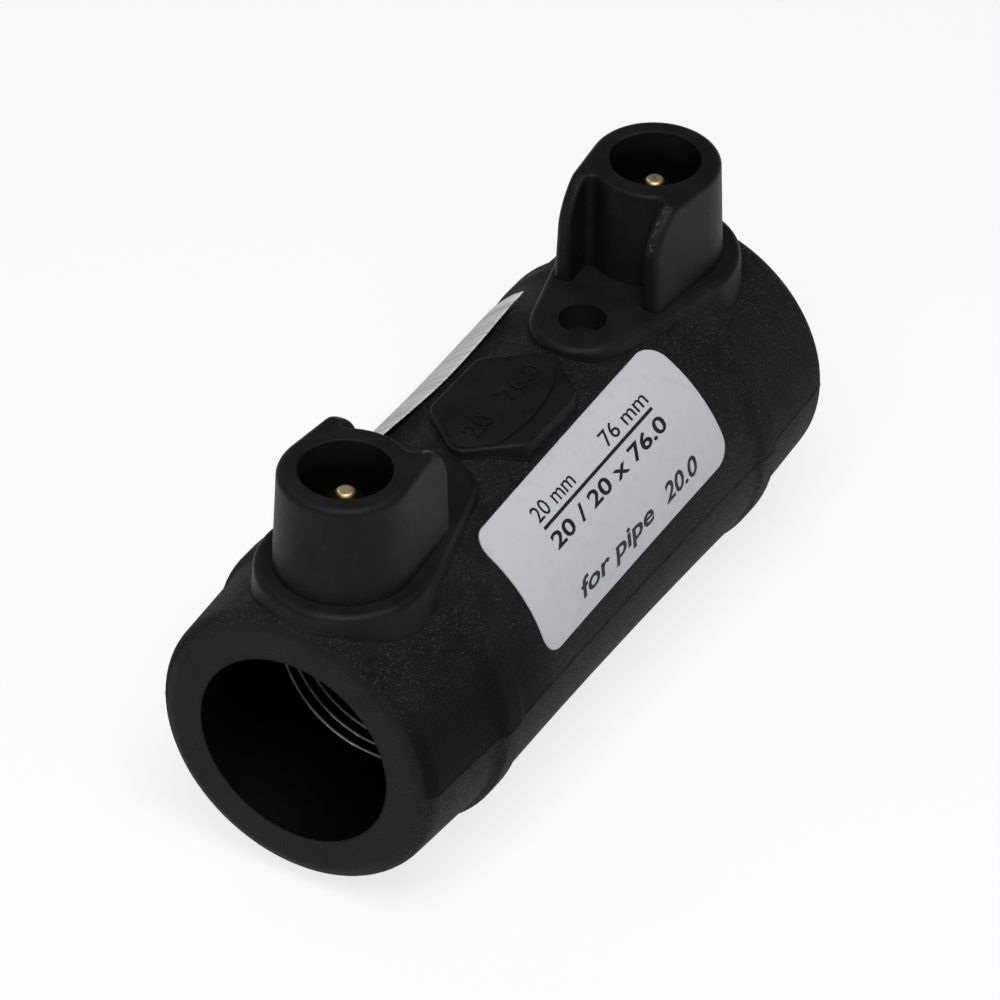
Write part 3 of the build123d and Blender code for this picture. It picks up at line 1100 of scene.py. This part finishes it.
@dataclass
class PartingSeam:
    """The thin ridge that the mould's two halves leave along one side of the barrel.

    It wobbles by two waves, each given by its size, its radians in a millimetre and its start. It
    swells by a third one, given by its size and its radians in a millimetre. The shoulder of its
    outline is given by its shares of the width and the rise.
    """

    side: Side
    width: float = 0.30
    rise: float = 0.07
    sunk: float = 0.06
    step: float = 0.35
    end_gap: float = 0.9
    wobble: float = 0.05
    waves: tuple[Place, Place] = ((1.0, 0.9, 0.0), (0.6, 2.3, 1.0))
    swell: tuple[float, float] = (0.25, 1.7)
    shoulder: tuple[float, float] = (0.28, 0.6)

    def build(self, material: bpy.types.Material) -> None:
        """Lays the ridge from one end face to the other.

        Args:
            material: The moulding's finish.
        """
        skin = Skin("coupler_body")
        end = SIZES.half - self.end_gap
        count = round(2 * end / self.step)
        mesh = bmesh.new()
        rings = []
        for index in range(count + 1):
            x = -end + 2 * end * index / count
            rings.append([mesh.verts.new(place) for place in self._section(skin, x)])
        for one, two in zip(rings, rings[1:]):
            for a in range(len(one)):
                b = (a + 1) % len(one)
                mesh.faces.new((one[a], one[b], two[b], two[a]))
        mesh.faces.new(rings[0])
        mesh.faces.new(rings[-1][::-1])
        name = "parting_seam_" + self.side.name.lower()
        add_piece(name, mesh, material).data.shade_smooth()

    def _section(self, skin: Skin, x: float) -> list[Vector]:
        """Works out the ridge's outline at one place along the barrel.

        Args:
            skin: The moulding's surface.
            x: The place.

        Returns:
            The outline's points, from one edge to the other.
        """
        height = self.wobble * sum(
            size * math.sin(turn * x + start) for size, turn, start in self.waves
        )
        swell, turn = self.swell
        rise = self.rise * (1 - swell + swell * math.sin(turn * x))
        out, up = self.shoulder
        outline = (
            (0.5, -self.sunk), (out, rise * up), (0.0, rise), (-out, rise * up), (-0.5, -self.sunk),
        )
        points = []
        for share, proud in outline:
            angle = -self.side.value * (math.pi / 2 - (height + share * self.width) / SIZES.waist)
            radius = skin.radius(x, angle) + proud
            points.append(Vector((x, -radius * math.sin(angle), radius * math.cos(angle))))
        return points


@dataclass
class HeatingWire:
    """The winding of resistance wire in the bore."""

    finish: Metal = Metal(
        "bright_wire", (0.98, 0.94, 0.87), (0.80, 0.73, 0.64), 0.42,
        Pattern(5.0, 3.0, squeeze=(0.4, 1.0, 1.0)), metallic=0.6,
    )

    def build(self) -> None:
        """Dresses the wire."""
        dress_node("heating_wire", self.finish.dress())


@dataclass
class Terminals:
    """The two brass pins and the two fusion indicators."""

    ends: tuple[str, str] = ("front", "rear")
    # painted shade: the near-black second colour darkens the pins away from their tips
    brass: Metal = Metal(
        "turned_brass", (0.95, 0.76, 0.40), (0.03, 0.019, 0.007), 0.36,
        Pattern(5.0, 3.0, squeeze=(0.2, 0.2, 3.0)), shaded_past=0.66,
    )

    def build(self, moulding: bpy.types.Material) -> None:
        """Dresses the pins and the indicators.

        Args:
            moulding: The finish of the moulding, which the indicators share.
        """
        brass = self.brass.dress()
        for end in self.ends:
            dress_node("terminal_pin_" + end, brass)
            dress_node("indicator_pin_" + end, moulding)


# ---------------------------------------------------------------- stage


@dataclass(frozen=True)
class Lamp:
    """A square lamp that looks at the coupler, with its side as its size and its power in watts."""

    name: str
    place: Place
    size: float
    power: float

    def hang(self) -> None:
        """Makes the lamp."""
        data = bpy.data.lights.new(self.name, "AREA")
        data.size = self.size * MM
        data.energy = self.power
        lamp = bpy.data.objects.new(self.name, data)
        lamp.location = Vector(self.place) * MM
        lamp.rotation_mode = "QUATERNION"
        lamp.rotation_quaternion = (-Vector(self.place)).to_track_quat("-Z", "Y")
        bpy.context.scene.collection.objects.link(lamp)


@dataclass
class Studio:
    """Pale floor, soft lamps and the camera. The clipping and the floor's reach are in metres."""

    camera_direction: tuple[float, float] = (30.104, 38.223)
    camera_roll: float = 0.891
    camera_distance: float = 778.5
    camera_target: Place = (0.0, 0.156, 4.186)
    camera_clip: Span = (0.01, 20.0)
    lens: float = 291.78
    floor_reach: float = 6.0
    floor_gap: float = 0.02
    floor_colour: Colour = (0.9, 0.9, 0.9)
    glow_colour: Colour = (1.0, 1.0, 1.0)
    floor_glow: float = 0.8
    world_colour: Colour = (1.0, 1.0, 1.0)
    world_strength: float = 0.07
    lamps: tuple[Lamp, ...] = (
        Lamp("key", (-200.0, -160.0, 520.0), 360.0, 3.15),
        Lamp("back", (160.0, 420.0, 420.0), 260.0, 0.30),
        Lamp("front", (-390.0, -30.0, 450.0), 110.0, 0.35),
    )

    def build(self) -> None:
        """Makes the floor, the lamps, the world and the camera."""
        self._camera()
        self._floor()
        for lamp in self.lamps:
            lamp.hang()
        self._world()

    def _camera(self) -> None:
        """Places the camera by its direction, roll and distance from its target."""
        azimuth, elevation = (math.radians(a) for a in self.camera_direction)
        ahead = Vector((
            math.cos(azimuth) * math.cos(elevation),
            math.sin(azimuth) * math.cos(elevation),
            -math.sin(elevation),
        ))
        right = Vector((math.sin(azimuth), -math.cos(azimuth), 0.0))
        up = right.cross(ahead)
        roll = math.radians(self.camera_roll)
        side = right * math.cos(roll) + up * math.sin(roll)
        top = up * math.cos(roll) - right * math.sin(roll)
        turn = Matrix((side, top, -ahead)).transposed()
        data = bpy.data.cameras.new("camera")
        data.lens = self.lens
        data.clip_start, data.clip_end = self.camera_clip
        camera = bpy.data.objects.new("camera", data)
        place = (Vector(self.camera_target) - ahead * self.camera_distance) * MM
        camera.matrix_world = Matrix.Translation(place) @ turn.to_4x4()
        bpy.context.scene.collection.objects.link(camera)
        bpy.context.scene.camera = camera

    def _floor(self) -> None:
        """Lays a large pale floor just under the coupler, which a lens sees nearly white."""
        mesh = bpy.data.meshes.new("floor")
        signs = ((-1, -1), (1, -1), (1, 1), (-1, 1))
        corners = [(self.floor_reach * a, self.floor_reach * b, 0.0) for a, b in signs]
        mesh.from_pydata(corners, [], [(0, 1, 2, 3)])
        floor = bpy.data.objects.new("floor", mesh)
        floor.location.z = (SIZES.floor - self.floor_gap) * MM
        bpy.context.scene.collection.objects.link(floor)
        floor.data.materials.append(self._floor_finish())

    def _floor_finish(self) -> bpy.types.Material:
        """Builds the floor's pale matt paint, with most of its shadow kept light to the eye.

        Returns:
            The material.
        """
        shader = Shader("pale_floor")
        paint = shader.add("ShaderNodeBsdfDiffuse", sockets={"Color": self.floor_colour})
        glow = shader.add(
            "ShaderNodeEmission", sockets={"Color": self.glow_colour, "Strength": 1.0}
        )
        path = shader.add("ShaderNodeLightPath")
        seen = Field(shader, path.outputs["Is Camera Ray"])
        for ray in ("Is Glossy Ray", "Is Transmission Ray"):
            seen = seen.largest(Field(shader, path.outputs[ray]))
        return shader.show(shader.add(
            "ShaderNodeMixShader",
            sockets={0: seen * self.floor_glow, 1: paint.outputs[0], 2: glow.outputs[0]},
        ))

    def _world(self) -> None:
        """Surrounds the coupler with even pale light."""
        world = bpy.data.worlds.new("world")
        world.use_nodes = True
        background = world.node_tree.nodes["Background"]
        background.inputs[0].default_value = (*self.world_colour, 1.0)
        background.inputs[1].default_value = self.world_strength
        bpy.context.scene.world = world


# ---------------------------------------------------------------- build


def dress_node(node: str, material: bpy.types.Material) -> None:
    """Gives a CAD node its finish.

    Args:
        node: The node's name.
        material: Its material.
    """
    for slot in frame["nodes"][node].material_slots:
        slot.link = "OBJECT"
        slot.material = material
    LOG.info("dressed %s with %s", node, material.name)


def main() -> None:
    """Builds and dresses every piece."""
    logging.basicConfig(level=logging.INFO, format="%(name)s: %(message)s")
    bpy.context.scene.view_settings.view_transform = "Standard"
    Studio().build()
    moulding = MouldedBlack().dress()
    dress_node("coupler_body", moulding)
    HeatingWire().build()
    Terminals().build(moulding)
    SizeLabel().build()
    BarLabel().build()
    CrownNumbers().build(moulding)
    for side in Side:
        PartingSeam(side).build(moulding)


if __name__ == "__main__":
    main()
